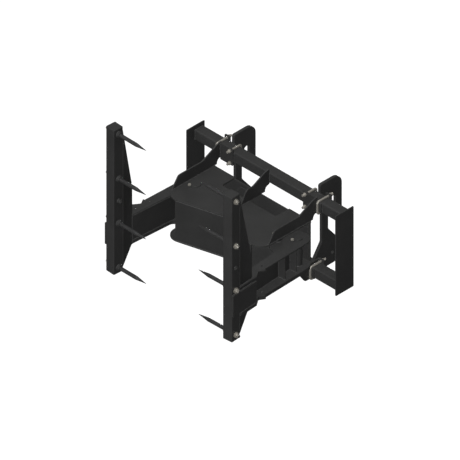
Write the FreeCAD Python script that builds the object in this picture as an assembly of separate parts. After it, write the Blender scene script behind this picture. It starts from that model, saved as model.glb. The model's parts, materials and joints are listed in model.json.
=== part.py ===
import FreeCAD, Part
import math
import os

V = FreeCAD.Vector

# Hitch frame, millimetres. X is the width, Y runs from the spikes (-) to the loader (+), Z is up.
frame_half_width = 865.0
end_plate_t = 10.0
end_plate_depth = 207.0
end_plate_height = 800.0
end_plate_corner = 8.0
tube_size = 100.0
tube_wall = 8.0
tube_corner = 10.0
upper_tube_y = 93.0
upper_tube_z = 658.0
lower_tube_y = 10.0
lower_tube_z = 46.0

# Hooks that hang on the loader, with their lower pin holes
hook_inset = 63.5
hook_t = 28.0
hook_front_y = 175.0
hook_top_z = 848.0
hook_back_y = 424.0
hook_shoulder_r = 90.0
strip_width = 73.0
throat_front_y = 290.0
throat_width = 62.0
throat_top_z = 672.0
finger_bottom_z = 500.0
waist_z = 371.0
strip_rise = 190.0
throat_rise = 230.0
heel_z = 270.0
lobe_back_y = 384.0
lobe_top_z = 222.0
lobe_bottom_z = 2.0
lobe_r = 62.0
pin_hole_y = 314.0
pin_hole_z = 110.0
pin_hole_r = 15.0

# Centre box that carries the arms
sheet_t = 12.0
box_half_width = 561.0
hook_spacing = 2 * (box_half_width - hook_inset)
box_back_y = 17.0
box_top_z = 595.0
box_bottom_z = 175.0
nose_y = -437.0
nose_angle = 15.0
box_corner_r = 110.0
front_plate_inset = 123.0
front_plate_reach = box_half_width - front_plate_inset
cutout_half_width = 312.0
cutout_front_y = -140.0
cutout_corner = 25.0
slot_x = -206.0
slot_length = 60.0
slot_height = 16.0
slot_drop = 26.0

# Gussets from the box up to the upper tube
gusset_top_z = 800.0
gusset_deck_z = 704.0
gusset_tip_y = -476.0
gusset_shoulder_y = -400.0
gusset_knee_y = -125.0
gusset_crown_y = 38.0
gusset_crown_drop = 15.0
gusset_notch = 50.0
gusset_notch_r = 45.0
middle_tip_y = -240.0
middle_shoulder_y = -167.0
middle_knee_y = -98.0
middle_deck_z = 717.0

# Clamps that hold the box on the two tubes
rod_r = 10.0
seat_gap = 0.3
bend_r = 20.0
clamp_plate_t = 14.0
clamp_inset = 126.0
clamp_outset = 23.0
clamp_inner_x = box_half_width - clamp_inset
clamp_outer_x = box_half_width + clamp_outset
strap_width = 60.0
strap_margin = 20.0
thread_past_nut = 18.0
nut_flats = 30.0
nut_height = 18.0
thread_gap = 0.1
saddle_tip_y = -160.0
saddle_low_z = 20.0
saddle_nose_y = -50.0

# Arms, drawn straight and then turned out by the splay angle
pivot_inset = 91.0
pivot_x = box_half_width - pivot_inset
pivot_y = -280.0
splay = 3.9
post_outset = 104.0
post_x = pivot_x + post_outset
pivot_pin_r = 25.0
hub_r = 40.0
hub_pad = 75.0
run_gap = 0.05
side_gap = 0.3
arm_top_z = 513.0
arm_bottom_z = 222.0
arm_bottom_depth = 35.0
tail_outset = 118.6
tail_x = pivot_x + tail_outset
tail_y = -157.8
tail_r = 95.0
tail_pin_r = 20.0
boss_r = 35.0
arm_knee_y = -440.0
outer_back_y = -215.0
outer_front_y = -664.0
flank_width = 94.0
ear_width = 110.0
outer_front_x = post_x + flank_width
ear_x = post_x + ear_width
notch_y = -721.0
notch_width = 74.0
notch_x = post_x + notch_width
cheek_back_y = -787.0
cheek_t = 15.0
cheek_drop = 33.0
cheek_clearance = 4.0
cheek_top_z = arm_top_z - sheet_t - cheek_drop
web_back_y = -250.0
rib_t = 10.0
rib_reach = 81.0
rib_out_x = post_x + rib_reach
rib_places = (-400.0, -258.0)
arm_hole_r = 9.0
arm_hole_inset_a = 47.5
arm_hole_inset_b = 55.0
arm_hole_a = (post_x + arm_hole_inset_a, -645.0)
arm_hole_b = (post_x + arm_hole_inset_b, -797.0)

# Posts, spikes and their hardware
post_front_y = -1079.0
post_size = 100.0
post_wall = 6.0
post_corner = 8.0
post_height = 1440.0
cap_t = 6.0
stiffener_drop = 40.0
stiffener_top_z = post_height - stiffener_drop
stiffener_low_z = 40.0
inner_depth = 100.0
inner_full_z = 800.0
inner_foot_z = 230.0
outer_depth = 150.0
outer_full_z = 709.0
outer_foot_z = 300.0
spike_first_z = 55.0
spike_count = 4
spike_pitch = (post_height - 2 * spike_first_z) / (spike_count - 1)
spike_r = 17.0
spike_reach = 322.0
spike_cone = 115.0
spike_tip_r = 1.5
spike_toe = 3.0
spike_thread_r = 12.0
bush_r = 27.0
bush_length = 22.0
washer_r = 26.0
washer_t = 5.0
spare_z = 720.0

# Cylinder that swings the arms
barrel_r = 40.0
barrel_bore_r = 35.0
rod_shaft_r = 22.0
eye_r = 38.0
eye_width = 70.0
barrel_start = 48.0
barrel_length = 650.0
gland_length = 45.0
gland_r = 46.0
piston_length = 40.0
piston_from_gland = 90.0
port_r = 14.0
port_rise = 16.0
port_inset = 45.0

# Pin heads and the bolts that hold the pins
pin_head_r = 46.0
pin_head_t = 10.0
pin_foot = 12.0
keeper_r = 8.0
keeper_reach = 60.0
keeper_tab = 18.0
pivot_keeper_turn = 17.0
tail_keeper_turn = -11.0
keeper_flats = 24.0
keeper_head = 11.0

upper = (upper_tube_y, upper_tube_z)
lower = (lower_tube_y, lower_tube_z)
leg_half = tube_size / 2 + rod_r + seat_gap
arm_floor_z = arm_bottom_z + arm_bottom_depth
arm_mid_z = (arm_top_z - sheet_t + arm_floor_z) / 2
post_back_y = post_front_y + post_size
post_mid_x = post_x + post_size / 2
post_mid_y = post_front_y + post_size / 2


def corner_arc(before, corner, after, radius):
    """Points where a rounded corner starts, peaks and ends."""
    a = (before - corner).normalize()
    b = (after - corner).normalize()
    half = a.getAngle(b) / 2
    reach = radius / math.tan(half)
    middle = (a + b).normalize()
    centre = corner + middle * (radius / math.sin(half))
    return corner + a * reach, centre - middle * radius, corner + b * reach


def outline(corners, place):
    """Closed face through corners (a, b) or (a, b, radius), put into space by place(a, b)."""
    points = [V(c[0], c[1], 0) for c in corners]
    count = len(corners)
    stops = []
    for i, corner in enumerate(corners):
        if len(corner) == 2:
            stops.append((points[i], points[i], points[i]))
        else:
            stops.append(corner_arc(points[i - 1], points[i], points[(i + 1) % count], corner[2]))
    edges = []
    for i, (start, peak, end) in enumerate(stops):
        if start.distanceToPoint(end) > 0.001:
            three = [place(p.x, p.y) for p in (start, peak, end)]
            edges.append(Part.Arc(*three).toShape())
        following = stops[(i + 1) % count][0]
        if end.distanceToPoint(following) > 0.001:
            edges.append(Part.LineSegment(place(end.x, end.y), place(following.x, following.y)).toShape())
    return Part.Face(Part.Wire(edges))


def plate_z(corners, z, thickness):
    return outline(corners, lambda a, b: V(a, b, z)).extrude(V(0, 0, thickness))


def plate_x(corners, x, thickness):
    return outline(corners, lambda a, b: V(x, a, b)).extrude(V(thickness, 0, 0))


def plate_y(corners, y, thickness):
    return outline(corners, lambda a, b: V(a, y, b)).extrude(V(0, thickness, 0))


def rectangle(a0, b0, a1, b1, radius=0.0):
    sides = [(a0, b0), (a1, b0), (a1, b1), (a0, b1)]
    if radius:
        return [(a, b, radius) for a, b in sides]
    return sides


def rod_along(start, direction, radius, length):
    return Part.makeCylinder(radius, length, start, direction)


def ring(start, direction, outer, inner, length):
    return rod_along(start, direction, outer, length).cut(rod_along(start, direction, inner, length))


def hexagon(start, direction, flats, height, bore=0.0):
    """Hexagonal prism on start, along direction, with an optional bore."""
    radius = flats / math.sqrt(3)
    turn = FreeCAD.Rotation(V(0, 0, 1), direction)
    points = [V(radius * math.cos(math.radians(60 * i)), radius * math.sin(math.radians(60 * i)), 0)
              for i in range(6)]
    points = [start + turn.multVec(p) for p in points]
    solid = Part.Face(Part.makePolygon(points + points[:1])).extrude(direction * height)
    if bore:
        solid = solid.cut(rod_along(start, direction, bore, height))
    return solid


def mirrored(shape):
    return shape.mirror(V(0, 0, 0), V(1, 0, 0))


def both_sides(shapes):
    return Part.makeCompound(list(shapes) + [mirrored(s) for s in shapes])


def square_tube_x(y, z, length):
    """Square hollow section centred on X = 0."""
    outside = plate_x(rectangle(y, z, y + tube_size, z + tube_size, tube_corner), -length / 2, length)
    inside = plate_x(rectangle(y + tube_wall, z + tube_wall, y + tube_size - tube_wall,
                               z + tube_size - tube_wall), -length / 2, length)
    return outside.cut(inside)


def end_plate():
    corners = rectangle(0, 0, end_plate_depth, end_plate_height, end_plate_corner)
    return plate_x(corners, frame_half_width - end_plate_t, end_plate_t)


def hook_bracket():
    """Hook plate behind both tubes: shoulder, throat and finger above, lobe with the pin hole below."""
    tube_back = upper_tube_y + tube_size
    tube_top = upper_tube_z + tube_size
    lower_back = lower_tube_y + tube_size
    lower_top = lower_tube_z + tube_size
    throat_back = throat_front_y + throat_width
    strip_back = tube_back + strip_width
    corners = [
        (hook_front_y, tube_top), (tube_back, tube_top), (tube_back, heel_z, 40),
        (lower_back, lower_top), (lower_back, lower_tube_z), (lower_back + 30, lobe_bottom_z, 30),
        (lobe_back_y, lobe_bottom_z, lobe_r), (lobe_back_y, lobe_top_z, 30), (strip_back, waist_z, 40),
        (strip_back, waist_z + strip_rise, 30), (throat_front_y, waist_z + throat_rise, 30),
        (throat_front_y, throat_top_z, throat_width * 0.49), (throat_back, throat_top_z, throat_width * 0.49),
        (throat_back, finger_bottom_z, 12), (hook_back_y, finger_bottom_z, 16),
        (hook_back_y, hook_top_z, hook_shoulder_r), (hook_front_y, hook_top_z, 16)]
    start_x = hook_spacing / 2 - hook_t / 2
    plate = plate_x(corners, start_x, hook_t)
    hole = rod_along(V(start_x, pin_hole_y, pin_hole_z), V(1, 0, 0), pin_hole_r, hook_t)
    return plate.cut(hole)


def front_line(x):
    """Y of the box's front edge, which runs back from the outer corners to the nose."""
    return nose_y - abs(x) * math.tan(math.radians(nose_angle))


def box_outline():
    front = front_line(box_half_width)
    return [(-box_half_width, box_back_y), (-box_half_width, front, box_corner_r), (0, nose_y),
            (box_half_width, front, box_corner_r), (box_half_width, box_back_y)]


def pivot_holes(z):
    return [rod_along(V(side * pivot_x, pivot_y, z), V(0, 0, 1), pivot_pin_r + run_gap, sheet_t)
            for side in (-1, 1)]


def box_top():
    cut = [(cutout_half_width, box_back_y), (cutout_half_width, cutout_front_y, cutout_corner),
           (-cutout_half_width, cutout_front_y, cutout_corner), (-cutout_half_width, box_back_y)]
    z = box_top_z - sheet_t
    place = keeper_place(pivot_x, pivot_y, pivot_keeper_turn)
    bolt_holes = [rod_along(V(side * place[0], place[1], z), V(0, 0, 1), keeper_r, sheet_t)
                  for side in (-1, 1)]
    return plate_z(box_outline() + cut, z, sheet_t).cut(pivot_holes(z) + bolt_holes)


def box_bottom():
    return plate_z(box_outline(), box_bottom_z, sheet_t).cut(pivot_holes(box_bottom_z))


def box_back():
    low = box_bottom_z + sheet_t
    high = box_top_z - sheet_t
    plate = plate_y(rectangle(-box_half_width, low, box_half_width, high), box_back_y - sheet_t, sheet_t)
    slot_top = high - slot_drop
    slot = rectangle(slot_x - slot_length / 2, slot_top - slot_height,
                     slot_x + slot_length / 2, slot_top, slot_height * 0.49)
    return plate.cut(plate_y(slot, box_back_y - sheet_t, sheet_t))


def front_plate():
    reach = front_plate_reach
    depth = sheet_t / math.cos(math.radians(nose_angle))
    corners = [(-reach, front_line(reach)), (0, nose_y), (reach, front_line(reach)),
               (reach, front_line(reach) + depth), (0, nose_y + depth), (-reach, front_line(reach) + depth)]
    low = box_bottom_z + sheet_t
    return plate_z(corners, low, box_top_z - sheet_t - low)


def gusset(tip_y, shoulder_y, knee_y, deck_z):
    """Side outline of a gusset whose back edge stands against the upper tube."""
    tube_bottom = upper_tube_z - tube_corner
    return [(tip_y, box_top_z), (shoulder_y, deck_z, 40), (knee_y, deck_z, 60),
            (gusset_crown_y, gusset_top_z - gusset_crown_drop, 60), (upper_tube_y, gusset_top_z),
            (upper_tube_y, tube_bottom), (upper_tube_y - gusset_notch, tube_bottom, gusset_notch_r),
            (upper_tube_y - gusset_notch, box_top_z)]


def side_gusset():
    corners = gusset(gusset_tip_y, gusset_shoulder_y, gusset_knee_y, gusset_deck_z)
    return plate_x(corners, box_half_width - sheet_t, sheet_t)


def middle_gusset():
    corners = gusset(middle_tip_y, middle_shoulder_y, middle_knee_y, middle_deck_z)
    return plate_x(corners, -sheet_t / 2, sheet_t)


def u_bolt(x, tube, bend_y, toward, leg_end):
    """Square U-bolt round a tube: the bend lies at bend_y and the legs run toward leg_end."""
    middle = tube[1] + tube_size / 2
    corner_y = bend_y + toward * bend_r
    along = V(0, toward, 0)
    pieces = []
    for side in (-1, 1):
        z = middle + side * leg_half
        turn_z = z - side * bend_r
        section = Part.Face(Part.Wire(Part.makeCircle(rod_r, V(x, corner_y, z), V(0, 1, 0))))
        pieces.append(rod_along(V(x, corner_y, z), along, rod_r, abs(leg_end - corner_y)))
        pieces.append(section.revolve(V(x, corner_y, turn_z), V(1, 0, 0), 90 * side * toward))
    reach = leg_half - bend_r
    bar = rod_along(V(x, bend_y, middle - reach), V(0, 0, 1), rod_r, 2 * reach)
    return bar.fuse(pieces).removeSplitter()


def leg_holes(x, tube, y, thickness):
    middle = tube[1] + tube_size / 2
    return [rod_along(V(x, y, middle + side * leg_half), V(0, 1, 0), rod_r + seat_gap, thickness)
            for side in (-1, 1)]


def leg_nuts(x, tube, y, toward):
    middle = tube[1] + tube_size / 2
    return [hexagon(V(x, y, middle + side * leg_half), V(0, toward, 0), nut_flats, nut_height,
                    rod_r + thread_gap) for side in (-1, 1)]


def strap(x0, x1, bolt_x, tube, y):
    """Clamp plate with two holes for the legs of one U-bolt."""
    reach = leg_half + strap_margin
    middle = tube[1] + tube_size / 2
    plate = plate_y(rectangle(x0, middle - reach, x1, middle + reach, 6), y, clamp_plate_t)
    return plate.cut(leg_holes(bolt_x, tube, y, clamp_plate_t))


def front_pad(tube):
    """Pad on the front of a tube, outside the gusset, that an outer U-bolt pulls on."""
    y = tube[0] - clamp_plate_t
    corners = [(y, tube[1], tube_corner), (tube[0], tube[1]), (tube[0], tube[1] + tube_size),
               (y, tube[1] + tube_size, tube_corner)]
    return plate_x(corners, box_half_width, clamp_outer_x + strap_width / 2 - box_half_width)


def clamp_set():
    """Plates, straps, U-bolts and nuts of one side of the frame."""
    inner_y = upper_tube_y - clamp_plate_t
    plates = [strap(clamp_inner_x - strap_width / 2, box_half_width - sheet_t, clamp_inner_x, upper, inner_y)]
    bolts = [u_bolt(clamp_inner_x, upper, upper_tube_y + tube_size + rod_r + seat_gap, -1,
                    inner_y - nut_height - thread_past_nut)]
    nuts = leg_nuts(clamp_inner_x, upper, inner_y, -1)
    straps = []
    for tube in (upper, lower):
        back = tube[0] + tube_size
        plates.append(front_pad(tube))
        straps.append(strap(clamp_outer_x - strap_width / 2, clamp_outer_x + strap_width / 2,
                            clamp_outer_x, tube, back))
        bolts.append(u_bolt(clamp_outer_x, tube, tube[0] - clamp_plate_t - rod_r - seat_gap, 1,
                            back + clamp_plate_t + nut_height + thread_past_nut))
        nuts += leg_nuts(clamp_outer_x, tube, back + clamp_plate_t, 1)
    return plates, straps, bolts, nuts


def saddle():
    """Plate that carries the box on the lower tube."""
    tube_top = lower_tube_z + tube_size
    corners = [(saddle_tip_y, box_bottom_z), (saddle_nose_y, saddle_low_z, 40),
               (lower_tube_y, saddle_low_z), (lower_tube_y, tube_top),
               (lower_tube_y + tube_size, tube_top), (lower_tube_y + tube_size, box_bottom_z)]
    return plate_x(corners, box_half_width - sheet_t, sheet_t)


def keeper_place(x, y, turn):
    """Where the bolt stands that holds the pin at x, y."""
    angle = math.radians(turn)
    return x + keeper_reach * math.sin(angle), y - keeper_reach * math.cos(angle)


def splayed(shape):
    """Turn a piece of the right arm from its straight position out to its rest position."""
    turned = shape.copy()
    turned.rotate(V(pivot_x, pivot_y, 0), V(0, 0, 1), splay)
    return turned


def stiffener(x, depth, full_z, foot_z):
    corners = [(post_back_y, stiffener_low_z), (post_back_y, stiffener_top_z),
               (post_back_y + depth, full_z, 60), (post_back_y + depth, foot_z, 60)]
    return plate_x(corners, x, sheet_t)


def inner_stiffener():
    return stiffener(post_x, inner_depth, inner_full_z, inner_foot_z)


def outer_stiffener():
    return stiffener(post_x + post_size - sheet_t, outer_depth, outer_full_z, outer_foot_z)


def arm_plate(z, depth):
    """Plate from the post to the pivot and the tail; a deeper one has its rim turned down."""
    cheek_x = post_x + post_size + cheek_t
    corners = [
        (post_x, post_back_y), (post_x, arm_knee_y, 60),
        (pivot_x - hub_pad, pivot_y - hub_pad, hub_pad * 0.95),
        (pivot_x - hub_pad, pivot_y + hub_pad, hub_pad * 0.8),
        (tail_x - tail_r, tail_y + tail_r, tail_r * 0.6), (tail_x + tail_r, tail_y + tail_r, tail_r * 0.9),
        (tail_x + tail_r, outer_back_y), (outer_front_x, outer_front_y), (ear_x, outer_front_y - 4),
        (notch_x, notch_y, 12), (cheek_x, cheek_back_y), (cheek_x, post_back_y)]
    face = outline(corners, lambda a, b: V(a, b, z))
    plate = face.extrude(V(0, 0, depth))
    if depth > sheet_t:
        inside = face.makeOffset2D(-sheet_t, 2)
        plate = plate.cut(inside.extrude(V(0, 0, depth - sheet_t)))
    up = V(0, 0, 1)
    holes = [rod_along(V(pivot_x, pivot_y, z), up, pivot_pin_r + run_gap, depth),
             rod_along(V(tail_x, tail_y, z), up, tail_pin_r + run_gap, depth)]
    holes += [rod_along(V(place[0], place[1], z), up, arm_hole_r, depth)
              for place in (arm_hole_a, arm_hole_b)]
    if depth == sheet_t:
        place = keeper_place(tail_x, tail_y, tail_keeper_turn)
        holes.append(rod_along(V(place[0], place[1], z), up, keeper_r, depth))
    return plate.cut(holes + [inner_stiffener(), outer_stiffener()])


def arm_web():
    low = arm_floor_z
    start = post_back_y + inner_depth
    return plate_z(rectangle(post_x, start, post_x + sheet_t, web_back_y), low, arm_top_z - sheet_t - low)


def arm_cheek():
    """Outer cheek, cut away round the nuts of the spikes that it meets."""
    low = arm_floor_z
    x = post_x + post_size
    plate = plate_z(rectangle(x, post_front_y, x + cheek_t, cheek_back_y), low, cheek_top_z - low)
    places = [spike_axis(z) for z in spike_heights()]
    return plate.cut([rod_along(centre, direction * -1, washer_r + cheek_clearance, post_size)
                      for centre, direction in places])


def arm_ribs():
    low = arm_floor_z
    height = arm_top_z - sheet_t - low
    x = post_x + sheet_t
    return [plate_z(rectangle(x, y, rib_out_x, y + rib_t), low, height) for y in rib_places]


def pivot_hub():
    """Hub tube in three lengths, above, between and below the arm's plates."""
    bore = pivot_pin_r + run_gap
    spans = [(box_bottom_z + sheet_t + side_gap, arm_floor_z - sheet_t),
             (arm_floor_z, arm_top_z - sheet_t),
             (arm_top_z, box_top_z - sheet_t - side_gap)]
    return [ring(V(pivot_x, pivot_y, low), V(0, 0, 1), hub_r, bore, high - low) for low, high in spans]


def tail_bosses():
    """Two tubes that hold the tail pin on either side of the cylinder's eye."""
    low = arm_floor_z
    bore = tail_pin_r + run_gap
    length = arm_mid_z - eye_width / 2 - side_gap - low
    upper_start = arm_mid_z + eye_width / 2 + side_gap
    return [ring(V(tail_x, tail_y, z), V(0, 0, 1), boss_r, bore, length) for z in (low, upper_start)]


def headed_pin(x, y, low, high, radius, turn):
    """Pin with a flat head on top and a tab toward the front, drilled for the bolt that holds it."""
    up = V(0, 0, 1)
    place = keeper_place(x, y, turn)
    pin = rod_along(V(x, y, low), up, radius, high - low)
    head = rod_along(V(x, y, high), up, radius / pivot_pin_r * pin_head_r, pin_head_t)
    tab = plate_z(rectangle(x - keeper_tab, y - keeper_reach, x + keeper_tab, y), high, pin_head_t)
    tab.rotate(V(x, y, 0), up, turn)
    end = rod_along(V(place[0], place[1], high), up, keeper_tab, pin_head_t)
    drill = rod_along(V(place[0], place[1], high), up, keeper_r, pin_head_t)
    return pin.fuse([head, tab, end]).removeSplitter().cut(drill)


def keeper_bolt(x, y, seat_z, turn):
    """Bolt through a pin's tab into the plate under it."""
    place = keeper_place(x, y, turn)
    depth = pin_head_t + sheet_t
    shank = rod_along(V(place[0], place[1], seat_z - depth), V(0, 0, 1), keeper_r, depth)
    return shank.fuse(hexagon(V(place[0], place[1], seat_z), V(0, 0, 1), keeper_flats, keeper_head))


def spike_axis(z):
    """Centre of a spike in the post and its direction, inward and a little back."""
    turn = math.radians(spike_toe)
    return V(post_mid_x, post_mid_y, z), V(-math.cos(turn), math.sin(turn), 0)


def spike_heights():
    return [spike_first_z + i * spike_pitch for i in range(spike_count)]


def post_box(oversize=0.0):
    low = post_front_y - oversize
    return plate_z(rectangle(post_x, low, post_x + post_size, low + post_size + 2 * oversize), 0, post_height)


def post_tube():
    size = rectangle(post_x, post_front_y, post_x + post_size, post_back_y, post_corner)
    hollow = rectangle(post_x + post_wall, post_front_y + post_wall,
                       post_x + post_size - post_wall, post_back_y - post_wall)
    height = post_height - 2 * cap_t
    tube = plate_z(size, cap_t, height).cut(plate_z(hollow, cap_t, height))
    cuts = []
    for z in spike_heights():
        centre, direction = spike_axis(z)
        cuts.append(rod_along(centre, direction, spike_r + thread_gap, post_size))
        cuts.append(rod_along(centre, direction * -1, spike_thread_r + thread_gap, post_size))
    centre, direction = spike_axis(spare_z)
    cuts.append(rod_along(centre - direction * post_size, direction, spike_r + thread_gap, 2 * post_size))
    return tube.cut(cuts)


def post_caps():
    size = rectangle(post_x, post_front_y, post_x + post_size, post_back_y, post_corner)
    return [plate_z(size, z, cap_t) for z in (0, post_height - cap_t)]


def spike(z):
    """Round spike with a long taper, a shank through the post and a threaded end."""
    centre, direction = spike_axis(z)
    inside = post_size / 2
    straight = inside + spike_reach - spike_cone
    end = inside + washer_t + nut_height + thread_past_nut
    shoulder = inside - post_wall * 2
    profile = [V(0, 0, -end), V(spike_thread_r, 0, -end), V(spike_thread_r, 0, -shoulder),
               V(spike_r, 0, -shoulder), V(spike_r, 0, straight),
               V(spike_tip_r, 0, inside + spike_reach), V(0, 0, inside + spike_reach)]
    face = Part.Face(Part.makePolygon(profile + profile[:1]))
    solid = face.revolve(V(0, 0, 0), V(0, 0, 1), 360)
    solid.Placement = FreeCAD.Placement(centre, FreeCAD.Rotation(V(0, 0, 1), direction))
    return solid


def spike_bush(z):
    """Welded collar where a spike leaves the inner face of the post."""
    centre, direction = spike_axis(z)
    long = post_size / 2 + bush_length
    tube = ring(centre, direction, bush_r, spike_r + thread_gap, long)
    return tube.cut(post_box(bush_r))


def spike_washer(z):
    centre, direction = spike_axis(z)
    out = direction * -1
    tube = ring(centre, out, washer_r, spike_thread_r + thread_gap, post_size / 2 + washer_t + seat_gap)
    return tube.cut(post_box(washer_r))


def spike_nut(z):
    centre, direction = spike_axis(z)
    out = direction * -1
    start = centre + out * (post_size / 2 + washer_t + seat_gap)
    return hexagon(start, out, nut_flats * 1.2, nut_height, spike_thread_r + thread_gap)


def spare_socket():
    """Empty socket tube through the post, for one more spike."""
    centre, direction = spike_axis(spare_z)
    long = post_size + bush_length + washer_t
    return ring(centre - direction * (post_size / 2 + washer_t), direction, spike_r, spike_thread_r, long)


def splayed_point(x, y):
    """Where a point of the straight arm lies once the arm is splayed."""
    turn = math.radians(splay)
    dx = x - pivot_x
    dy = y - pivot_y
    return (pivot_x + dx * math.cos(turn) - dy * math.sin(turn),
            pivot_y + dx * math.sin(turn) + dy * math.cos(turn))


eye_x, eye_y = splayed_point(tail_x, tail_y)
barrel_x = -eye_x + barrel_start
gland_x = barrel_x + barrel_length
piston_x = gland_x - piston_from_gland


def eye(x):
    """Cylinder eye on a tail pin."""
    low = arm_mid_z - eye_width / 2
    return ring(V(x, eye_y, low), V(0, 0, 1), eye_r, tail_pin_r + run_gap, eye_width)


def cylinder_barrel():
    start = V(barrel_x, eye_y, arm_mid_z)
    tube = ring(start, V(1, 0, 0), barrel_r, barrel_bore_r, barrel_length)
    for x in (barrel_x + port_inset, gland_x - port_inset):
        port = rod_along(V(x, eye_y, arm_mid_z), V(0, 0, 1), port_r, barrel_r + port_rise)
        drill = rod_along(V(x, eye_y, arm_mid_z), V(0, 0, 1), port_r / 2, barrel_r + port_rise)
        bore = rod_along(start, V(1, 0, 0), barrel_bore_r, barrel_length)
        tube = tube.fuse(port.cut(bore)).cut(drill)
    return tube.removeSplitter()


def barrel_eye():
    """End cap of the barrel with its eye."""
    cap = rod_along(V(-eye_x, eye_y, arm_mid_z), V(1, 0, 0), eye_width / 2, barrel_start)
    bore = rod_along(V(-eye_x, eye_y, arm_mid_z - eye_width), V(0, 0, 1), tail_pin_r + run_gap,
                     2 * eye_width)
    return eye(-eye_x).fuse(cap).cut(bore).removeSplitter()


def cylinder_gland():
    return ring(V(gland_x, eye_y, arm_mid_z), V(1, 0, 0), gland_r, rod_shaft_r + run_gap, gland_length)


def cylinder_rod():
    length = eye_x - eye_r - piston_x
    return rod_along(V(piston_x, eye_y, arm_mid_z), V(1, 0, 0), rod_shaft_r, length)


def rod_eye():
    collar = rod_along(V(eye_x - eye_r, eye_y, arm_mid_z), V(1, 0, 0), eye_width / 2 * 0.9, eye_r)
    bore = rod_along(V(eye_x, eye_y, arm_mid_z - eye_width), V(0, 0, 1), tail_pin_r + run_gap,
                     2 * eye_width)
    return eye(eye_x).fuse(collar).cut(bore).removeSplitter()


def cylinder_piston():
    start = V(piston_x - piston_length, eye_y, arm_mid_z)
    return rod_along(start, V(1, 0, 0), barrel_bore_r - run_gap, piston_length)


def frame_nodes():
    plates, straps, bolts, nuts = clamp_set()
    pin_top = box_top_z
    turn = pivot_keeper_turn
    pin = headed_pin(pivot_x, pivot_y, box_bottom_z - pin_foot, pin_top, pivot_pin_r, turn)
    keeper = keeper_bolt(pivot_x, pivot_y, pin_top + pin_head_t, turn)
    tube_length = 2 * (frame_half_width - end_plate_t)
    return {
        "right_end_plate": end_plate(),
        "left_end_plate": mirrored(end_plate()),
        "upper_tube": square_tube_x(upper_tube_y, upper_tube_z, tube_length),
        "lower_tube": square_tube_x(lower_tube_y, lower_tube_z, tube_length),
        "right_hook_bracket": hook_bracket(),
        "left_hook_bracket": mirrored(hook_bracket()),
        "box_top_plate": box_top(),
        "box_bottom_plate": box_bottom(),
        "box_back_plate": box_back(),
        "box_front_plate": front_plate(),
        "right_gusset": side_gusset(),
        "left_gusset": mirrored(side_gusset()),
        "middle_gusset": middle_gusset(),
        "clamp_plates": both_sides(plates),
        "clamp_straps": both_sides(straps),
        "u_bolts": both_sides(bolts),
        "u_bolt_nuts": both_sides(nuts),
        "lower_saddles": both_sides([saddle()]),
        "pivot_pins": both_sides([pin]),
        "pivot_pin_bolts": both_sides([keeper])}


def arm_nodes():
    """Pieces of the right arm, straight, before the splay."""
    heights = spike_heights()
    return {
        "arm_top_plate": [arm_plate(arm_top_z - sheet_t, sheet_t)],
        "arm_bottom_plate": [arm_plate(arm_bottom_z, arm_bottom_depth)],
        "arm_web": [arm_web()],
        "arm_cheek": [arm_cheek()],
        "arm_ribs": arm_ribs(),
        "pivot_hub": pivot_hub(),
        "tail_bosses": tail_bosses(),
        "tail_pin": [headed_pin(tail_x, tail_y, arm_bottom_z - pin_foot, arm_top_z, tail_pin_r,
                                tail_keeper_turn)],
        "tail_pin_bolt": [keeper_bolt(tail_x, tail_y, arm_top_z + pin_head_t, tail_keeper_turn)],
        "post": [post_tube()],
        "post_caps": post_caps(),
        "post_inner_stiffener": [inner_stiffener()],
        "post_outer_stiffener": [outer_stiffener()],
        "spikes": [spike(z) for z in heights],
        "spike_bushes": [spike_bush(z) for z in heights] + [spare_socket()],
        "spike_washers": [spike_washer(z) for z in heights],
        "spike_nuts": [spike_nut(z) for z in heights]}


def cylinder_nodes():
    return {
        "cylinder_barrel": cylinder_barrel(),
        "barrel_eye": barrel_eye(),
        "cylinder_gland": cylinder_gland(),
        "cylinder_rod": cylinder_rod(),
        "rod_eye": rod_eye(),
        "cylinder_piston": cylinder_piston()}


def all_nodes():
    nodes = frame_nodes()
    for name, pieces in arm_nodes().items():
        turned = [splayed(piece) for piece in pieces]
        nodes["right_" + name] = Part.makeCompound(turned)
        nodes["left_" + name] = Part.makeCompound([mirrored(piece) for piece in turned])
    nodes.update(cylinder_nodes())
    return nodes


def write_nodes():
    """Centre the part over its own footprint and write one file for each node."""
    nodes = all_nodes()
    front = min(nodes[name].optimalBoundingBox(False).YMin for name in ("right_post", "right_post_caps"))
    shift = -(front + hook_back_y) / 2
    os.makedirs("parts", exist_ok=True)
    for name, shape in nodes.items():
        placed = shape.copy()
        placed.translate(V(0, shift, 0))
        placed.exportStep(f"parts/{name}.step")
        print(name, len(placed.Solids), placed.isValid(), round(placed.Volume))
    print("shift", shift, "eye", eye_x, eye_y, "nodes", len(nodes))


write_nodes()
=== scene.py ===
import json
import math

import bmesh
import bpy
import numpy as np
from bpy.props import FloatProperty, FloatVectorProperty, PointerProperty
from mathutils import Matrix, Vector
from mathutils.bvhtree import BVHTree


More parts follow.
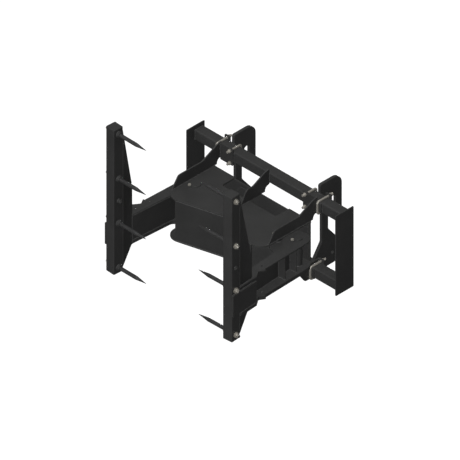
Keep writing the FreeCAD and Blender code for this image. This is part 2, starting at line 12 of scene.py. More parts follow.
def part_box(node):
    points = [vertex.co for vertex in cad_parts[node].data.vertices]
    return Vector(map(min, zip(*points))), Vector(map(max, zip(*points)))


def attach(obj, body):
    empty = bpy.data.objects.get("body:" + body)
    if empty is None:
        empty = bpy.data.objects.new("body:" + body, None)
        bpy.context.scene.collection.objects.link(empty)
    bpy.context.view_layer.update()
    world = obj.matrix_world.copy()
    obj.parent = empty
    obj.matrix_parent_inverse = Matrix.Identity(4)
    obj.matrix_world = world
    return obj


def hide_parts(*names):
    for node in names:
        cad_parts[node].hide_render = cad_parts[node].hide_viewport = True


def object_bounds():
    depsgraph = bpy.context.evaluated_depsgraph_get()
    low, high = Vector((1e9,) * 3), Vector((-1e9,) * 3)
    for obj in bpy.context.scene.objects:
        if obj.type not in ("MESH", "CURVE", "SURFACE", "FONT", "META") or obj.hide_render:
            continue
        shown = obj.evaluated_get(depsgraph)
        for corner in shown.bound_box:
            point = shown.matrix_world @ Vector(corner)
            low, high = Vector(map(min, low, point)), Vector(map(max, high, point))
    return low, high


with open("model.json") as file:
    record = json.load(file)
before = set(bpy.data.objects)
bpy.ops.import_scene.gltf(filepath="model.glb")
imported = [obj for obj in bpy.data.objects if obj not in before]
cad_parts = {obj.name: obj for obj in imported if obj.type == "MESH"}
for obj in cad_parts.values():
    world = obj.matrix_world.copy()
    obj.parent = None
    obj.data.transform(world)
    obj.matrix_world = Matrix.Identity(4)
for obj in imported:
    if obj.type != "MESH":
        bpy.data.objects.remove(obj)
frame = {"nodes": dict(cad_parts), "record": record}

bl_info = {
    "name": "Bale Grab Looks",
    "version": (1, 0, 0),
    "blender": (4, 5, 0),
    "location": "View3D > Sidebar > Grab",
    "description": "Paint, welds, threads and stage for a bale grab with spiked posts",
    "category": "Object"}

CAD_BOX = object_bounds()
NODES = frame["nodes"]
BODIES = frame["record"]["behaviour"]["bodies"]
SLOTS = {row["node"]: row["material_slot"] for row in frame["record"]["subparts"]}
ARM_SIDES = ("left", "right")

MERGE_GAP = 0.00001
FLAT_ANGLE = math.radians(1)
BEVEL_ANGLE = math.radians(40)
SHARP_ANGLE = math.radians(20)
NUT_SHARP_ANGLE = math.radians(25)
U_BOLT_RADIUS = 0.010
SPIKE_THREAD_RADIUS = 0.012
INNER_CLAMPS_WITHIN = 0.5
RIPPLE_LENGTH = 0.85
SEAM_SPACING = 0.6
FIRST_CREST = 0.6
CREST_WIDTH = 0.8
CREST_STEPS = 28
NUT_STEPS = 48
NUT_FACE = 0.97
NUT_BOW = 0.55
TOP_SHARE = 0.55
FILL_ANGLE = math.radians(10)
LAMP_AIM = (0, 0, 0.6)
MIX_FACTOR, MIX_LOW, MIX_HIGH, MIX_RESULT = 0, 6, 7, 2
RUST = (0.090, 0.045, 0.024)


class GrabFinish(bpy.types.PropertyGroup):
    """Colours and surface of the finishes."""
    paint: FloatVectorProperty(
        name="Paint", description="Satin black of the plates and tubes", subtype="COLOR",
        default=(0.0300, 0.0300, 0.0298), min=0, max=1)
    worn: FloatVectorProperty(
        name="Worn paint", description="Paint rubbed thin along the edges", subtype="COLOR",
        default=(0.040, 0.040, 0.0395), min=0, max=1)
    dust: FloatVectorProperty(
        name="Dust", description="Dust that lies on the upward faces", subtype="COLOR",
        default=(0.0375, 0.0375, 0.0365), min=0, max=1)
    zinc: FloatVectorProperty(
        name="Zinc", description="Plated bolts and nuts", subtype="COLOR",
        default=(0.43, 0.415, 0.385), min=0, max=1)
    spike: FloatVectorProperty(
        name="Spike steel", description="Dark forged steel of the spikes", subtype="COLOR",
        default=(0.034, 0.034, 0.0345), min=0, max=1)
    bright: FloatVectorProperty(
        name="Bright steel", description="Steel rubbed bright at the spikes' points",
        subtype="COLOR",
        default=(0.066, 0.066, 0.068), min=0, max=1)
    chrome: FloatVectorProperty(
        name="Chrome", description="Hard chrome of the cylinder's rod", subtype="COLOR",
        default=(0.62, 0.62, 0.64), min=0, max=1)
    paint_roughness: FloatProperty(
        name="Paint roughness", description="Gloss of the paint", default=0.52, min=0, max=1,
        subtype="FACTOR")
    peel: FloatProperty(
        name="Paint grain", description="Height of the paint's fine grain", default=0.00015,
        min=0, subtype="DISTANCE", unit="LENGTH", precision=5)


class GrabDetail(bpy.types.PropertyGroup):
    """Sizes of the fine details."""
    edge_break: FloatProperty(
        name="Edge break", description="Width of the ground edges of plates and tubes",
        default=0.0018, min=0, subtype="DISTANCE", unit="LENGTH", precision=4)
    bead_width: FloatProperty(
        name="Weld width", description="Width of a weld bead", default=0.009, min=0.001,
        subtype="DISTANCE", unit="LENGTH", precision=4)
    bead_pitch: FloatProperty(
        name="Weld pitch", description="Distance from one weld ripple to the next", default=0.0075,
        min=0.002, subtype="DISTANCE", unit="LENGTH", precision=4)
    thread_pitch: FloatProperty(
        name="Thread pitch", description="Distance between thread crests", default=0.0025,
        min=0.001, subtype="DISTANCE", unit="LENGTH", precision=4)
    thread_length: FloatProperty(
        name="Thread length", description="Thread that stands out of a nut", default=0.0165,
        min=0.002, subtype="DISTANCE", unit="LENGTH", precision=4)
    nut_chamfer: FloatProperty(
        name="Nut chamfer", description="Height of the chamfer on a nut's corners", default=0.0028,
        min=0, subtype="DISTANCE", unit="LENGTH", precision=4)


class GrabStage(bpy.types.PropertyGroup):
    """Floor, camera and lights."""
    floor_size: FloatProperty(
        name="Floor size", description="Side of the square floor", default=60.0, min=1,
        subtype="DISTANCE", unit="LENGTH")
    view_width: FloatProperty(
        name="View width", description="Width of the picture at the object", default=3.756,
        min=0.1, subtype="DISTANCE", unit="LENGTH")
    view_point: FloatVectorProperty(
        name="View point", description="Point in the middle of the picture",
        default=(-0.1786, 0.1441, 0.2320), subtype="TRANSLATION", unit="LENGTH")
    key_power: FloatProperty(
        name="Key light", description="Power of the large front light", default=30.0, min=0,
        unit="POWER")
    fill_power: FloatProperty(
        name="View fill", description="Strength of the shadowless light along the view",
        default=1.55, min=0)
    over_power: FloatProperty(
        name="Over fill", description="Strength of the shadowless light from above",
        default=1.25, min=0)
    face_power: FloatProperty(
        name="Face fill", description="Strength of the shadowless light from the front",
        default=1.08, min=0)
    rear_power: FloatProperty(
        name="Rear fill", description="Strength of the shadowless light on the rear and left",
        default=2.3, min=0)
    world_strength: FloatProperty(
        name="Room light", description="Strength of the even light all round", default=0.08, min=0)
    front_strength: FloatProperty(
        name="Front light", description="Strength of the soft light from the front",
        default=0.03, min=0)
    sky_strength: FloatProperty(
        name="Ceiling light", description="Strength of the soft light from above",
        default=0.10, min=0)


class Wire:
    """A shader socket that does sums: an expression on wires adds its Math nodes."""

    def __init__(self, tree, socket):
        self.tree = tree
        self.socket = socket

    def math(self, operation, *others):
        values = {0: self}
        values.update({i + 1: other for i, other in enumerate(others)})
        return node(self.tree, "ShaderNodeMath", {"operation": operation}, values)

    def __add__(self, other):
        return self.math("ADD", other)

    def __mul__(self, other):
        return self.math("MULTIPLY", other)

    def __sub__(self, other):
        return self.math("SUBTRACT", other)

    def __rsub__(self, other):
        return (self * -1) + other

    __radd__ = __add__
    __rmul__ = __mul__

    def clamped(self):
        return self.math("MINIMUM", 1.0).math("MAXIMUM", 0.0)

    def above(self, low, high):
        """0 under low, 1 over high, and an even ramp between."""
        return ((self - low) * (1 / (high - low))).clamped()


def node(tree, kind, settings=None, sockets=None, out=0):
    """Add a node: its settings first, then the values or wires of its sockets."""
    made = tree.nodes.new(kind)
    for name, value in (settings or {}).items():
        setattr(made, name, value)
    for key, value in (sockets or {}).items():
        if isinstance(value, Wire):
            tree.links.new(value.socket, made.inputs[key])
        else:
            made.inputs[key].default_value = value
    return Wire(tree, made.outputs[out])


def blend_colours(tree, mask, low, high):
    """Colour low where the mask is 0 and high where it is 1."""
    low, high = (c if isinstance(c, Wire) else (*c, 1) for c in (low, high))
    return node(tree, "ShaderNodeMix", {"data_type": "RGBA"},
                {MIX_FACTOR: mask, MIX_LOW: low, MIX_HIGH: high}, MIX_RESULT)


def noise(tree, place, scale, detail=4.0, roughness=0.5):
    return node(tree, "ShaderNodeTexNoise", {}, {
        "Vector": place, "Scale": scale, "Detail": detail, "Roughness": roughness})


def object_place(tree, stretch=(1, 1, 1)):
    place = node(tree, "ShaderNodeTexCoord", out=3)
    return node(tree, "ShaderNodeMapping", {}, {"Vector": place, "Scale": stretch})


def facing_up(tree):
    normal = node(tree, "ShaderNodeNewGeometry", out=1)
    return node(tree, "ShaderNodeSeparateXYZ", {}, {0: normal}, out=2)


def bump(tree, height, distance):
    return node(tree, "ShaderNodeBump", {}, {
        "Height": height, "Distance": distance, "Strength": 1.0})


def surface(name, build):
    """New material whose look comes from build(tree, shader)."""
    material = bpy.data.materials.new(name)
    material.use_nodes = True
    tree = material.node_tree
    build(tree, tree.nodes["Principled BSDF"])
    return material


def feed(tree, shader, **wires):
    """Join wires or values to the shader's sockets, named with _ for a space."""
    for name, value in wires.items():
        socket = shader.inputs[name.replace("_", " ")]
        if isinstance(value, Wire):
            tree.links.new(value.socket, socket)
        else:
            socket.default_value = value


def shaded(colour, amount):
    return [c * amount for c in colour]


def paint_look(tree, shader, finish, base, dusty):
    """Satin paint: soft cloudy tone, dust on top faces, fine grain and faint scuffs."""
    place = object_place(tree)
    clouds = noise(tree, place, 3.2, 5.0, 0.6)
    grain = noise(tree, place, 620.0, 2.0)
    scuff_place = object_place(tree, (1.0, 0.35, 2.2))
    scuffs = noise(tree, scuff_place, 46.0, 6.0, 0.7).above(0.63, 0.78)
    up = facing_up(tree).above(0.55, 0.98)
    settled = noise(tree, place, 9.0, 6.0, 0.65).above(0.30, 0.74)
    tone = blend_colours(tree, clouds.above(0.3, 0.7), shaded(base, 0.86), shaded(base, 1.16))
    rubbed = blend_colours(tree, scuffs * 0.35, tone, finish.worn[:])
    coloured = blend_colours(tree, up * settled * dusty, rubbed, finish.dust[:])
    even = finish.paint_roughness - 0.05
    rough = clouds * 0.10 + up * settled * 0.18 + even - scuffs * 0.06
    height = grain * 0.7 + scuffs * 0.3
    feed(tree, shader, Base_Color=coloured, Roughness=rough.clamped(), Specular_IOR_Level=0.32,
         Normal=bump(tree, height, finish.peel))


def weld_look(tree, shader, finish):
    """Painted weld: the paint, a little rougher over the ripples."""
    place = object_place(tree)
    spatter = noise(tree, place, 240.0, 4.0, 0.6)
    base = finish.paint[:]
    tone = blend_colours(tree, spatter.above(0.35, 0.7), base, shaded(base, 1.5))
    feed(tree, shader, Base_Color=tone, Roughness=spatter * 0.2 + 0.42,
         Normal=bump(tree, spatter, finish.peel * 2))


def zinc_look(tree, shader, finish):
    """Zinc plate: crystal patches, dull streaks and a trace of yellow."""
    place = object_place(tree)
    patches = node(tree, "ShaderNodeTexVoronoi", {}, {"Vector": place, "Scale": 210.0})
    dull = noise(tree, place, 60.0, 5.0, 0.6)
    base = finish.zinc[:]
    yellow = (base[0], base[1] * 0.93, base[2] * 0.72)
    tone = blend_colours(tree, dull.above(0.35, 0.7), base, shaded(base, 0.62))
    tinted = blend_colours(tree, patches.above(0.1, 0.7) * 0.25, tone, yellow)
    feed(tree, shader, Base_Color=tinted, Metallic=0.55, Roughness=(dull * 0.3 + 0.30).clamped(),
         Normal=bump(tree, patches + dull * 0.5, finish.peel))


def spike_look(tree, shader, finish):
    """Forged steel: scale along the shank, rubbed bright towards the point."""
    place = object_place(tree)
    length = node(tree, "ShaderNodeSeparateXYZ", {}, {0: place}).math("ABSOLUTE")
    point = 1 - length.above(0.27, 0.44)
    scale_marks = noise(tree, object_place(tree, (0.25, 1, 1)), 120.0, 6.0, 0.65)
    rust = noise(tree, place, 55.0, 6.0, 0.7).above(0.60, 0.78)
    base = finish.spike[:]
    tone = blend_colours(tree, scale_marks.above(0.32, 0.7), shaded(base, 0.75), shaded(base, 1.5))
    shine = point * scale_marks.above(0.30, 0.62) * 0.7
    rubbed = blend_colours(tree, shine, tone, finish.bright[:])
    coloured = blend_colours(tree, rust * 0.35, rubbed, RUST)
    feed(tree, shader, Base_Color=coloured, Specular_IOR_Level=0.35,
         Metallic=(point * 0.3 + 0.2).clamped(),
         Roughness=(scale_marks * 0.25 + rust * 0.2 + 0.28).clamped(),
         Normal=bump(tree, scale_marks + rust * 0.5, finish.peel * 2))


def chrome_look(tree, shader, finish):
    """Hard chrome with faint rings from grinding."""
    rings = noise(tree, object_place(tree, (30, 1, 1)), 40.0, 3.0)
    film = noise(tree, object_place(tree), 12.0, 4.0)
    base = finish.chrome[:]
    tone = blend_colours(tree, film.above(0.4, 0.7) * 0.35, base, shaded(base, 0.6))
    feed(tree, shader, Base_Color=tone, Metallic=1.0,
         Roughness=(film * 0.12 + rings * 0.08 + 0.04).clamped(),
         Normal=bump(tree, rings, finish.peel * 0.3))


def finish_of(name):
    """Material for a finish, made once; the frame's own plain materials keep the bare names."""
    finish = bpy.context.scene.grab_finish
    looks = {
        "black_paint": lambda t, s: paint_look(t, s, finish, finish.paint[:], 0.55),
        "worn_edge": lambda t, s: paint_look(t, s, finish, finish.worn[:], 0.3),
        "weld_paint": lambda t, s: weld_look(t, s, finish),
        "zinc_plate": lambda t, s: zinc_look(t, s, finish),
        "spike_steel": lambda t, s: spike_look(t, s, finish),
        "rod_chrome": lambda t, s: chrome_look(t, s, finish)}
    finished = name + "_finish"
    return bpy.data.materials.get(finished) or surface(finished, looks[name])


def new_piece(name, mesh, body, replaced=()):
    """Object for a finished mesh, riding on its body."""
    piece = bpy.data.objects.new(name, mesh)
    bpy.context.scene.collection.objects.link(piece)
    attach(piece, body)
    if replaced:
        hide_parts(*replaced)
    return piece


def body_of(name):
    return next(body for body, members in BODIES.items() if name in members)


def joined(name):
    """Copy of a CAD node with its loose triangles joined."""
    shape = bmesh.new()
    shape.from_mesh(NODES[name].data)
    bmesh.ops.remove_doubles(shape, verts=shape.verts, dist=MERGE_GAP)
    return shape


def merged(name):
    """Copy of a CAD node with its triangles joined and its flat faces whole."""
    shape = joined(name)
    bmesh.ops.dissolve_limit(shape, angle_limit=FLAT_ANGLE, verts=shape.verts, edges=shape.edges)
    return shape


def solids_of(name):
    """Vertex places of each separate solid of a CAD node."""
    shape = joined(name)
    left = set(shape.verts)
    groups = []
    while left:
        stack = [left.pop()]
        found = []
        while stack:
            vert = stack.pop()
            found.append(vert.co.copy())
            near = [e.other_vert(vert) for e in vert.link_edges]
            fresh = [v for v in near if v in left]
            left.difference_update(fresh)
            stack.extend(fresh)
        groups.append(np.array(found))
    shape.free()
    return groups


def middle(points):
    return Vector((points.min(0) + points.max(0)) / 2)


def evaluated(source, name):
    """Plain mesh of an object with its modifiers applied; the object is removed."""
    graph = bpy.context.evaluated_depsgraph_get()
    mesh = bpy.data.meshes.new_from_object(source.evaluated_get(graph))
    mesh.name = name
    bpy.data.objects.remove(source)
    return mesh


class GRAB_OT_plates(bpy.types.Operator):
    """Give painted plates and tubes their ground edges and their paint"""
    bl_idname = "grab.plates"
    bl_label = "Plates and tubes"

    def execute(self, context):
        width = context.scene.grab_detail.edge_break
        for name in sorted(NODES):
            if SLOTS[name] == "black_paint":
                self.soften(context, name, width)
        return {"FINISHED"}

    def soften(self, context, name, width):
        shape = merged(name)
        mesh = bpy.data.meshes.new(name + "_finished")
        shape.to_mesh(mesh)
        shape.free()
        work = bpy.data.objects.new(name + "_work", mesh)
        context.scene.collection.objects.link(work)
        mesh.materials.append(finish_of("black_paint"))
        mesh.materials.append(finish_of("worn_edge"))
        edge = work.modifiers.new("edge", "BEVEL")
        edge.width = width
        edge.segments = 2
        edge.limit_method = "ANGLE"
        edge.angle_limit = BEVEL_ANGLE
        edge.use_clamp_overlap = True
        edge.material = 1
        context.view_layer.update()
        finished = evaluated(work, name + "_finished")
        finished.shade_smooth()
        finished.set_sharp_from_angle(angle=SHARP_ANGLE)
        new_piece(name + "_finished", finished, body_of(name), (name,))


class GRAB_OT_hardware(bpy.types.Operator):
    """Give bolts, spikes and the cylinder rod their metal finishes"""
    bl_idname = "grab.hardware"
    bl_label = "Bolts, spikes and rod"

    def execute(self, context):
        for name, carried in NODES.items():
            if SLOTS[name] != "black_paint":
                carried.data.materials.clear()
                carried.data.materials.append(finish_of(SLOTS[name]))
        return {"FINISHED"}


def seam_points(body, pitch, reach):
    """Places and directions of weld ripples: where one plate's edge lies on its neighbour."""
    names = [n for n in BODIES[body]
             if SLOTS[n] == "black_paint" and not n.endswith(("pins", "pin"))]
    shapes = {n: merged(n) for n in names}
    trees = {n: BVHTree.FromBMesh(shape) for n, shape in shapes.items()}
    boxes = {n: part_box(n) for n in names}
    places = []
    directions = []
    for name in names:
        near = [n for n in names if n != name and boxes_meet(boxes[n], boxes[name])]
        for edge in shapes[name].edges:
            if len(edge.link_faces) != 2 or edge.calc_face_angle(0.0) < BEVEL_ANGLE:
                continue
            start, end = (v.co for v in edge.verts)
            count = max(1, round((end - start).length / pitch))
            along = (end - start).normalized()
            for i in range(count):
                point = start.lerp(end, (i + 0.5) / count)
                if well_inside(point, reach) and any(touches(trees[n], point) for n in near):
                    places.append(point)
                    directions.append(along)
    for shape in shapes.values():
        shape.free()
    return thinned(places, directions, pitch * SEAM_SPACING)


def well_inside(point, reach):
    """False at the object's outermost faces, where the weld is ground flush."""
    return all(CAD_BOX[0][i] + reach < point[i] < CAD_BOX[1][i] - reach for i in range(3))


def boxes_meet(a, b, slack=0.002):
    return all(a[0][i] <= b[1][i] + slack and b[0][i] <= a[1][i] + slack for i in range(3))


def touches(tree, point, reach=0.0005):
    return tree.find_nearest(point, reach)[0] is not None


def thinned(places, directions, spacing):
    """Keep one ripple in each small cell, so that two plates' edges don't double a seam."""
    kept = {}
    for place, direction in zip(places, directions):
        cell = tuple(round(c / spacing) for c in place)
        kept.setdefault(cell, (place, direction))
    return [p for p, d in kept.values()], [d for p, d in kept.values()]


def pointed_cloud(name, places, directions):
    """Object whose loose points carry a direction."""
    cloud = bpy.data.meshes.new(name)
    cloud.from_pydata([tuple(p) for p in places], [], [])
    along = cloud.attributes.new("along", "FLOAT_VECTOR", "POINT")
    along.data.foreach_set("vector", [c for d in directions for c in d])
    holder = bpy.data.objects.new(name, cloud)
    bpy.context.scene.collection.objects.link(holder)
    return holder


def repeat_tree(name, sizes, make_shape):
    """Geometry Nodes tree: make_shape's mesh on every point, along its direction."""
    tree = bpy.data.node_groups.new(name, "GeometryNodeTree")
    face = tree.interface
    face.new_socket("Geometry", in_out="INPUT", socket_type="NodeSocketGeometry")
    face.new_socket("Geometry", in_out="OUTPUT", socket_type="NodeSocketGeometry")
    for label in sizes:
        face.new_socket(label, in_out="INPUT", socket_type="NodeSocketFloat")
    face.new_socket("Finish", in_out="INPUT", socket_type="NodeSocketMaterial")
    given = tree.nodes.new("NodeGroupInput")
    result = tree.nodes.new("NodeGroupOutput")
    inputs = {socket.name: Wire(tree, socket) for socket in given.outputs if socket.name}
    shape = make_shape(tree, inputs)
    along = node(tree, "GeometryNodeInputNamedAttribute", {"data_type": "FLOAT_VECTOR"},
                 {"Name": "along"})
    turn = node(tree, "FunctionNodeAlignRotationToVector", {"axis": "Z"}, {"Vector": along})
    placed = node(tree, "GeometryNodeInstanceOnPoints", {},
                  {"Points": inputs["Geometry"], "Instance": shape, "Rotation": turn})
    real = node(tree, "GeometryNodeRealizeInstances", {}, {0: placed})
    finished = node(tree, "GeometryNodeSetMaterial", {},
                    {0: real, "Material": inputs["Finish"]})
    tree.links.new(finished.socket, result.inputs[0])
    return tree


def grown(holder, tree, sizes, material):
    """Run a repeat tree on a holder and return the plain mesh."""
    modifier = holder.modifiers.new("repeat", "NODES")
    modifier.node_group = tree
    identifiers = {s.name: s.identifier for s in tree.interface.items_tree
                   if s.in_out == "INPUT"}
    for label, value in sizes.items():
        modifier[identifiers[label]] = value
    modifier[identifiers["Finish"]] = material
    bpy.context.view_layer.update()
    return evaluated(holder, holder.name)


def ripple_shape(tree, inputs):
    """One weld ripple: a rounded drop, longer along the seam."""
    ball = node(tree, "GeometryNodeMeshUVSphere", {}, {"Segments": 8, "Rings": 5, "Radius": 1.0})
    half = inputs["Width"] * 0.5
    size = node(tree, "ShaderNodeCombineXYZ", {},
                {0: half, 1: half, 2: inputs["Pitch"] * RIPPLE_LENGTH})
    smooth = node(tree, "GeometryNodeSetShadeSmooth", {}, {0: ball})
    return node(tree, "GeometryNodeTransform", {}, {0: smooth, "Scale": size})


class GRAB_OT_welds(bpy.types.Operator):
    """Lay weld beads where the edge of one plate meets the face of another"""
    bl_idname = "grab.welds"
    bl_label = "Weld beads"

    def execute(self, context):
        detail = context.scene.grab_detail
        tree = repeat_tree("weld_ripples", ("Width", "Pitch"), ripple_shape)
        for body in ("frame", "left_arm", "right_arm"):
            reach = max(detail.bead_pitch, detail.bead_width / 2)
            places, directions = seam_points(body, detail.bead_pitch, reach)
            holder = pointed_cloud(body + "_welds", places, directions)
            sizes = {"Width": detail.bead_width, "Pitch": detail.bead_pitch}
            mesh = grown(holder, tree, sizes, finish_of("weld_paint"))
            new_piece(body + "_welds", mesh, body)
        return {"FINISHED"}


def crest_shape(tree, inputs):
    """One thread crest: a flat ring with a sharp outer edge."""
    circle, section = (
        node(tree, "GeometryNodeCurvePrimitiveCircle", {}, {"Resolution": steps, "Radius": radius})
        for steps, radius in ((CREST_STEPS, inputs["Radius"]), (4, inputs["Pitch"] * 0.5)))
    return node(tree, "GeometryNodeCurveToMesh", {}, {"Curve": circle, "Profile Curve": section})


def off_the_spikes(side):
    """Function that gives the direction from a nut's own spike out to the nut."""
    spikes = [middle(p) for p in solids_of(side + "_spikes")]

    def outward(centre):
        spike = min(spikes, key=lambda s: abs(s.z - centre.z))
        return (centre - spike).normalized()

    return outward


def thread_ends():
    """Body, radius and the start and direction of the thread standing out of each nut."""
    for points in solids_of("u_bolt_nuts"):
        centre = middle(points)
        front = abs(centre.x) < INNER_CLAMPS_WITHIN
        out = Vector((0, -1 if front else 1, 0))
        half = (points[:, 1].max() - points[:, 1].min()) / 2
        yield "frame", U_BOLT_RADIUS, centre + out * half, out
    for side in ARM_SIDES:
        outward = off_the_spikes(side)
        for points in solids_of(side + "_spike_nuts"):
            centre = middle(points)
            out = outward(centre)
            half = max(abs((Vector(p) - centre).dot(out)) for p in points)
            yield side + "_arm", SPIKE_THREAD_RADIUS, centre + out * half, out


class GRAB_OT_threads(bpy.types.Operator):
    """Cut thread crests on the bolt ends that stand out of their nuts"""
    bl_idname = "grab.threads"
    bl_label = "Threads"

    def execute(self, context):
        detail = context.scene.grab_detail
        tree = repeat_tree("thread_crests", ("Radius", "Pitch"), crest_shape)
        groups = {}
        count = int(detail.thread_length / detail.thread_pitch)
        for body, radius, start, out in thread_ends():
            places, directions = groups.setdefault((body, radius), ([], []))
            for i in range(count):
                places.append(start + out * detail.thread_pitch * (i + FIRST_CREST))
                directions.append(out)
        for (body, radius), (places, directions) in groups.items():
            holder = pointed_cloud(body + "_threads", places, directions)
            sizes = {"Radius": radius, "Pitch": detail.thread_pitch * CREST_WIDTH}
            mesh = grown(holder, tree, sizes, finish_of("zinc_plate"))
            new_piece(body + "_threads", mesh, body)
        return {"FINISHED"}


def nut_mesh(points, axis, chamfer):
    """Chamfered hexagon nut with its bore, in the place of a plain one."""
    centre = middle(points)
    offsets = [Vector(p) - centre for p in points]
    half = max(abs(o.dot(axis)) for o in offsets)
    flat = [o - axis * o.dot(axis) for o in offsets]
    corner = max(flat, key=lambda o: o.length)
    bore = min(o.length for o in flat)
    across = corner.length * math.cos(math.pi / 6)
    ahead = corner.normalized()
    side = axis.cross(ahead)
    angles = [math.tau * i / NUT_STEPS for i in range(NUT_STEPS)]
    spokes = [ahead * math.cos(angle) + side * math.sin(angle) for angle in angles]
    rows = []
    for height, hexagon in ((-half, 0), (-half + chamfer, 1), (half - chamfer, 1), (half, 0)):
        row = []
        for angle, spoke in zip(angles, spokes):
            within = (angle % (math.pi / 3)) - math.pi / 6
            radius = across / math.cos(within) if hexagon else across * NUT_FACE
            bow = (1 - abs(within) * 6 / math.pi) if hexagon else 0
            lift = math.copysign(chamfer, height) * bow * NUT_BOW
            row.append(centre + axis * (height + lift) + spoke * radius)
        rows.append(row)
    for height in (half, -half):
        rows.append([centre + axis * height + spoke * bore for spoke in spokes])
    shape = bmesh.new()
    verts = [[shape.verts.new(p) for p in row] for row in rows]
    for low, high in zip(verts, verts[1:] + verts[:1]):
        for i in range(NUT_STEPS):
            j = (i + 1) % NUT_STEPS
            shape.faces.new((low[i], low[j], high[j], high[i]))
    bmesh.ops.recalc_face_normals(shape, faces=shape.faces)
    return shape


class GRAB_OT_nuts(bpy.types.Operator):
    """Put chamfered nuts in the place of the plain ones"""
    bl_idname = "grab.nuts"
    bl_label = "Nuts"

    def execute(self, context):
        chamfer = context.scene.grab_detail.nut_chamfer
        self.dress("u_bolt_nuts", "frame", lambda centre: Vector((0, 1, 0)), chamfer)
        for side in ARM_SIDES:
            self.dress(side + "_spike_nuts", side + "_arm", off_the_spikes(side), chamfer)
        return {"FINISHED"}

    def dress(self, name, body, axis_at, chamfer):
        whole = bmesh.new()
        for points in solids_of(name):
            one = nut_mesh(points, axis_at(middle(points)), chamfer)
            part = bpy.data.meshes.new("nut")
            one.to_mesh(part)
            one.free()
            whole.from_mesh(part)
            bpy.data.meshes.remove(part)
        mesh = bpy.data.meshes.new(name + "_chamfered")
        whole.to_mesh(mesh)
        whole.free()
        mesh.materials.append(finish_of("zinc_plate"))
        mesh.shade_smooth()
        mesh.set_sharp_from_angle(angle=NUT_SHARP_ANGLE)
        new_piece(name + "_chamfered", mesh, body, (name,))


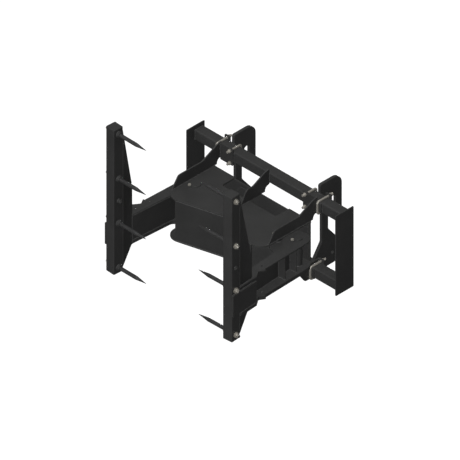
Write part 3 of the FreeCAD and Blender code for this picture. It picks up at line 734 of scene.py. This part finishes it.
class GRAB_OT_stage(bpy.types.Operator):
    """Set the floor, the room, the lamps and the camera"""
    bl_idname = "grab.stage"
    bl_label = "Stage"

    def execute(self, context):
        stage = context.scene.grab_stage
        self.floor(context, stage)
        self.room(context, stage)
        self.lamps(context, stage)
        self.camera(context, stage)
        context.scene.view_settings.view_transform = "Standard"
        return {"FINISHED"}

    def floor(self, context, stage):
        half = stage.floor_size / 2
        mesh = bpy.data.meshes.new("floor")
        corners = [(-half, -half, 0), (half, -half, 0), (half, half, 0), (-half, half, 0)]
        mesh.from_pydata(corners, [], [(0, 1, 2, 3)])
        floor = bpy.data.objects.new("floor", mesh)
        floor.location.z = -0.001
        context.scene.collection.objects.link(floor)
        mesh.materials.append(surface("pale_floor", self.floor_look))

    def floor_look(self, tree, shader):
        """White to the camera, which hides the shadow; other rays see a dim, mottled floor."""
        tree.nodes.remove(shader)
        mottle = noise(tree, object_place(tree), 1.5, 3.0)
        tone = blend_colours(tree, mottle, (0.10, 0.10, 0.10), (0.12, 0.12, 0.12))
        diffuse = node(tree, "ShaderNodeBsdfDiffuse", {}, {"Color": tone})
        glow = node(tree, "ShaderNodeEmission", {}, {"Color": (1, 1, 1, 1), "Strength": 1.0})
        seen = node(tree, "ShaderNodeLightPath")
        black = node(tree, "ShaderNodeEmission", {}, {"Color": (0, 0, 0, 1), "Strength": 0.0})
        lift = node(tree, "ShaderNodeMixShader", {}, {0: seen, 1: black, 2: glow})
        total = node(tree, "ShaderNodeAddShader", {}, {0: diffuse, 1: lift})
        tree.links.new(total.socket, tree.nodes["Material Output"].inputs["Surface"])

    def room(self, context, stage):
        world = bpy.data.worlds.new("room")
        world.use_nodes = True
        context.scene.world = world
        tree = world.node_tree
        direction = node(tree, "ShaderNodeTexCoord", out=0)
        front = node(tree, "ShaderNodeSeparateXYZ", {}, {0: direction}, out=1).above(0.2, -1.0)
        above = node(tree, "ShaderNodeSeparateXYZ", {}, {0: direction}, out=2).above(0.0, 1.0)
        seen = node(tree, "ShaderNodeLightPath")
        soft = front * stage.front_strength + above * stage.sky_strength
        strength = soft + stage.world_strength + seen
        back = tree.nodes["Background"]
        back.inputs["Color"].default_value = (1, 1, 1, 1)
        tree.links.new(strength.socket, back.inputs["Strength"])

    def lamps(self, context, stage):
        """Two area lamps with shadows, and four fills without."""
        lamps = (("key", (-2.6, -4.6, 5.6), 4.0, stage.key_power),
                 ("top", (0.4, 0.6, 6.0), 4.5, stage.key_power * TOP_SHARE))
        for name, place, size, power in lamps:
            aim = Vector(LAMP_AIM) - Vector(place)
            light, lamp = self.lamp(context, name, "AREA", power, aim)
            light.size = size
            lamp.location = place
        fills = (("view_fill", (-1, 1, -1), stage.fill_power),
                 ("over_fill", (0, 0, -1), stage.over_power),
                 ("face_fill", (0, 1, 0), stage.face_power),
                 ("rear_fill", (1, -1, 0.6), stage.rear_power))
        for name, direction, power in fills:
            light, lamp = self.lamp(context, name, "SUN", power, Vector(direction))
            light.angle = FILL_ANGLE
            light.use_shadow = False

    def lamp(self, context, name, kind, power, aim):
        light = bpy.data.lights.new(name, kind)
        light.energy = power
        lamp = bpy.data.objects.new(name, light)
        lamp.rotation_euler = aim.to_track_quat("-Z", "Y").to_euler()
        context.scene.collection.objects.link(lamp)
        return light, lamp

    def camera(self, context, stage):
        """Isometric view, from the front right and above."""
        lens = bpy.data.cameras.new("camera")
        lens.type = "ORTHO"
        lens.ortho_scale = stage.view_width
        lens.clip_end = 100
        camera = bpy.data.objects.new("camera", lens)
        away = Vector((1, -1, 1)).normalized()
        camera.location = Vector(stage.view_point) + away * 9
        camera.rotation_euler = (-away).to_track_quat("-Z", "Y").to_euler()
        context.scene.collection.objects.link(camera)
        context.scene.camera = camera


class GRAB_PT_panel(bpy.types.Panel):
    """Lists the grab's operators"""
    bl_idname = "GRAB_PT_panel"
    bl_label = "Bale grab"
    bl_space_type = "VIEW_3D"
    bl_region_type = "UI"
    bl_category = "Grab"

    def draw(self, context):
        for step in STEPS:
            self.layout.operator(step.bl_idname)


STEPS = (GRAB_OT_stage, GRAB_OT_plates, GRAB_OT_hardware, GRAB_OT_nuts, GRAB_OT_threads,
         GRAB_OT_welds)
GROUPS = {"grab_finish": GrabFinish, "grab_detail": GrabDetail, "grab_stage": GrabStage}


def register():
    for kind in (*GROUPS.values(), *STEPS, GRAB_PT_panel):
        bpy.utils.register_class(kind)
    for name, kind in GROUPS.items():
        setattr(bpy.types.Scene, name, PointerProperty(type=kind))


def unregister():
    for name in GROUPS:
        delattr(bpy.types.Scene, name)
    for kind in (GRAB_PT_panel, *reversed(STEPS), *reversed(list(GROUPS.values()))):
        bpy.utils.unregister_class(kind)


def main():
    register()
    for step in STEPS:
        prefix, name = step.bl_idname.split(".")
        getattr(getattr(bpy.ops, prefix), name)()


if __name__ == "__main__":
    main()
